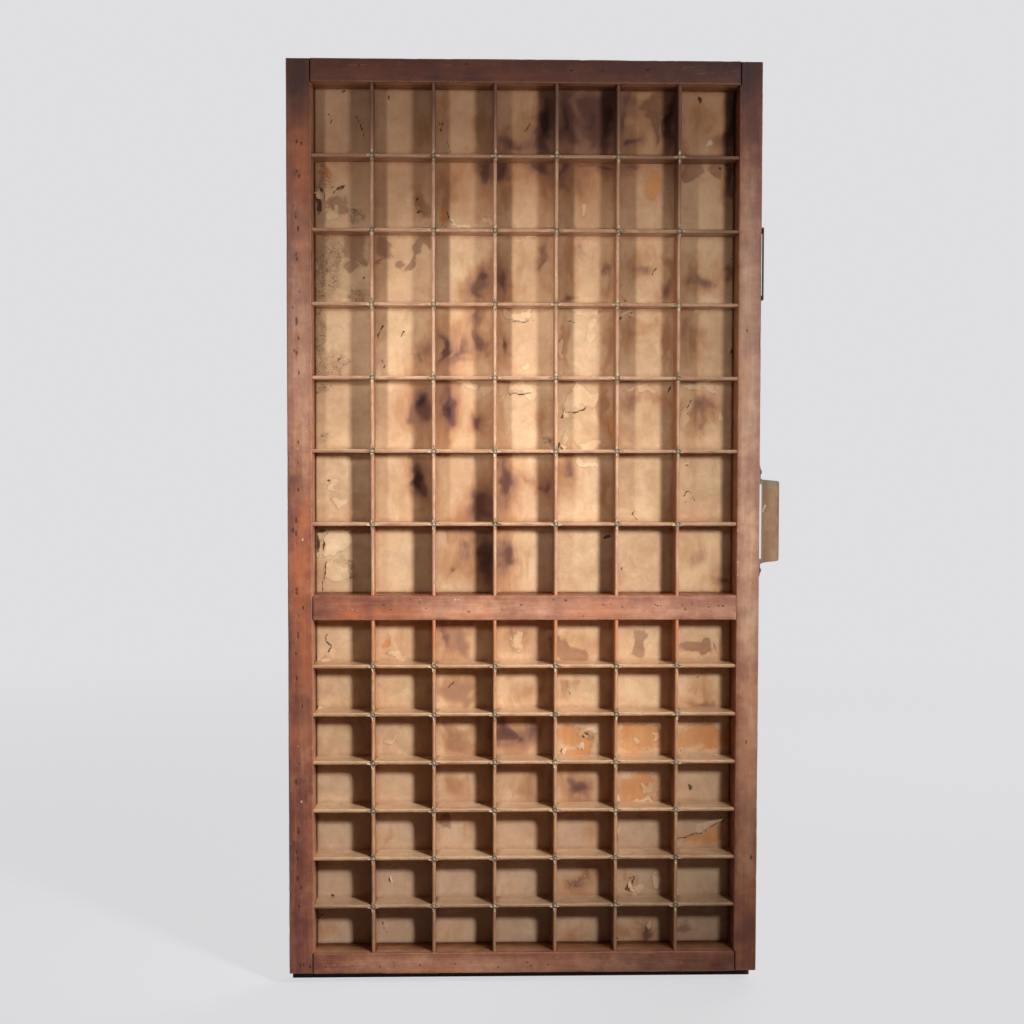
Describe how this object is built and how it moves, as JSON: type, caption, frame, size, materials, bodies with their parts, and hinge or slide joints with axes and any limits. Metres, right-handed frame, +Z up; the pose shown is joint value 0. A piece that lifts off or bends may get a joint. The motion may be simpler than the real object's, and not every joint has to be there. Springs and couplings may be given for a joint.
{
  "type": "printers type tray",
  "caption": "Shallow wooden type drawer stood on end: large compartments over small ones, clipped thin dividers, a pressed hood pull on one long rail.",
  "frame": {"origin": "middle of the whole object's footprint, on the surface that the tray stands on", "axes": "+X towards the pull, +Y from the open side to the bottom board, +Z up along the tray's long side"},
  "size_m": [0.443, 0.035, 0.8365],
  "materials": {
    "frame_wood": "worn red-brown stain",
    "board_wood": "bare three-ply board, aged",
    "strip_wood": "bare maple strips, soiled",
    "lining_paper": "glued paper, stained and torn",
    "clip_brass": "dull tarnished brass",
    "nail_steel": "tarnished wire nail",
    "screw_steel": "dull steel",
    "pull_lacquer": "olive-brown lacquer, worn at the edges",
    "holder_lacquer": "dark lacquer, dull"
  },
  "bodies": {
    "root": {"front_rail": "frame_wood", "back_rail": "frame_wood", "upper_side_rail": "frame_wood", "lower_side_rail": "frame_wood", "middle_bar": "frame_wood", "bottom_board": "board_wood", "upper_lining": "lining_paper", "lower_lining": "lining_paper", "upper_upright_1": "strip_wood", "upper_upright_2": "strip_wood", "upper_upright_3": "strip_wood", "upper_upright_4": "strip_wood", "upper_upright_5": "strip_wood", "upper_upright_6": "strip_wood", "upper_shelf_1": "strip_wood", "upper_shelf_2": "strip_wood", "upper_shelf_3": "strip_wood", "upper_shelf_4": "strip_wood", "upper_shelf_5": "strip_wood", "upper_shelf_6": "strip_wood", "lower_upright_1": "strip_wood", "lower_upright_2": "strip_wood", "lower_upright_3": "strip_wood", "lower_upright_4": "strip_wood", "lower_upright_5": "strip_wood", "lower_upright_6": "strip_wood", "lower_shelf_1": "strip_wood", "lower_shelf_2": "strip_wood", "lower_shelf_3": "strip_wood", "lower_shelf_4": "strip_wood", "lower_shelf_5": "strip_wood", "lower_shelf_6": "strip_wood", "upper_clips": "clip_brass", "lower_clips": "clip_brass", "upper_clip_nails": "nail_steel", "lower_clip_nails": "nail_steel", "pull": "pull_lacquer", "pull_screws": "screw_steel", "card_holder": "holder_lacquer", "holder_pins": "screw_steel", "frame_nails": "nail_steel", "board_brads": "nail_steel"}
  },
  "joints": []
}
